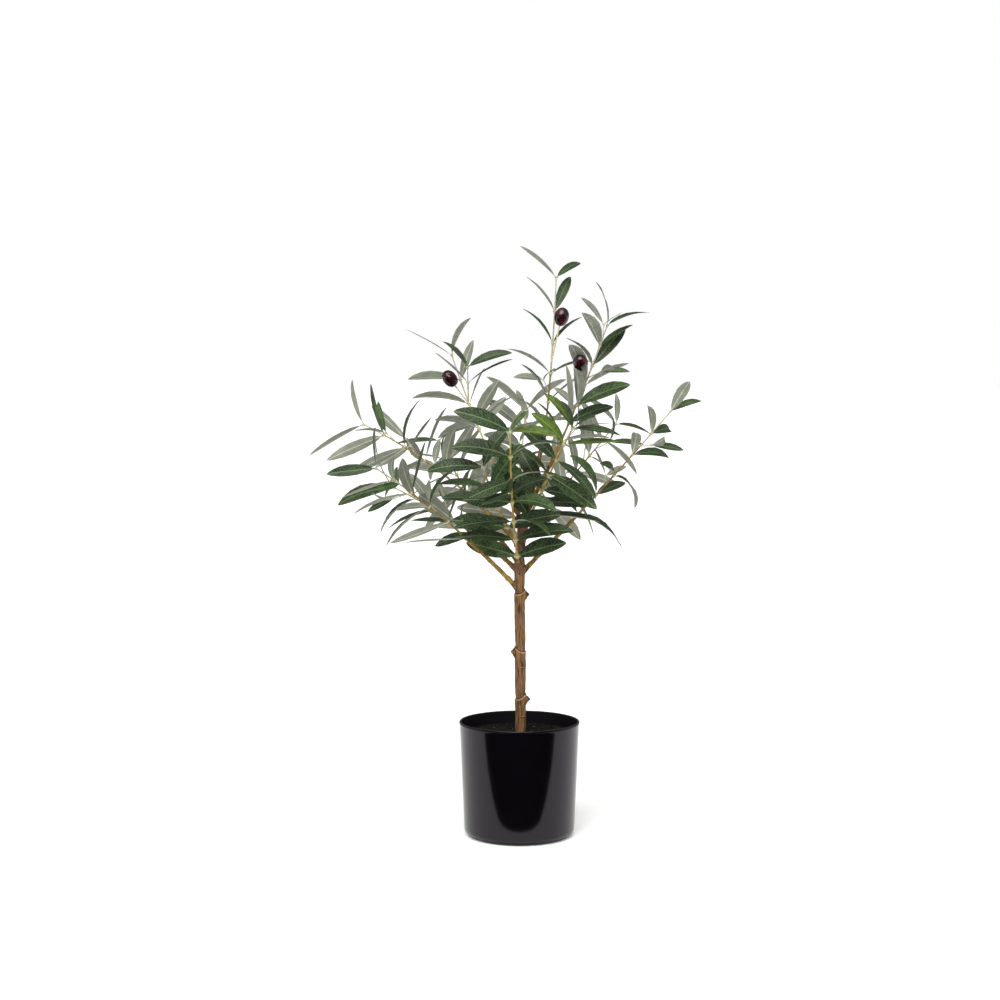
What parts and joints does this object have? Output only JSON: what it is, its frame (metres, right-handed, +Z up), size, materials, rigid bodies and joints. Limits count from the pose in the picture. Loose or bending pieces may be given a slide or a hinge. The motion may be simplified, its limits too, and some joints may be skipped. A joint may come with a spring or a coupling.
{
  "type": "artificial olive tree in a pot",
  "caption": "Small artificial olive tree: straight brown trunk, thin spreading boughs with narrow two-tone leaves and dark olives, standing in a glossy black round plant pot.",
  "frame": {"origin": "centre of the flat underside of the pot, on the surface the pot stands on", "axes": "+Z up along the trunk, -Y towards the front, +X to the right seen from the front"},
  "size_m": [0.4012, 0.2968, 0.5929],
  "materials": {
    "pot": "glossy black moulded plastic",
    "soil": "dark brown crumbs glued over a foam and cement fill",
    "trunk_bark": "moulded bark, brown with a dark wash",
    "bough_bark": "moulded tan plastic over wire",
    "foliage": "printed polyester leaves, dark green above and grey-green below"
  },
  "bodies": {
    "root": {"pot": "pot", "soil": "soil", "trunk": "trunk_bark", "bough_back": "bough_bark", "bough_back_left": "bough_bark", "bough_back_right": "bough_bark", "bough_front": "bough_bark", "bough_front_left": "bough_bark", "bough_front_right": "bough_bark", "bough_left_high": "bough_bark", "bough_left_low": "bough_bark", "bough_left_mid": "bough_bark", "bough_right_low": "bough_bark", "bough_upper_left": "bough_bark", "bough_upper_right": "bough_bark", "foliage_back": "foliage", "foliage_back_left": "foliage", "foliage_back_right": "foliage", "foliage_front": "foliage", "foliage_front_left": "foliage", "foliage_front_right": "foliage", "foliage_left_high": "foliage", "foliage_left_low": "foliage", "foliage_left_mid": "foliage", "foliage_right_low": "foliage", "foliage_top": "foliage", "foliage_upper_left": "foliage", "foliage_upper_right": "foliage"}
  },
  "joints": []
}
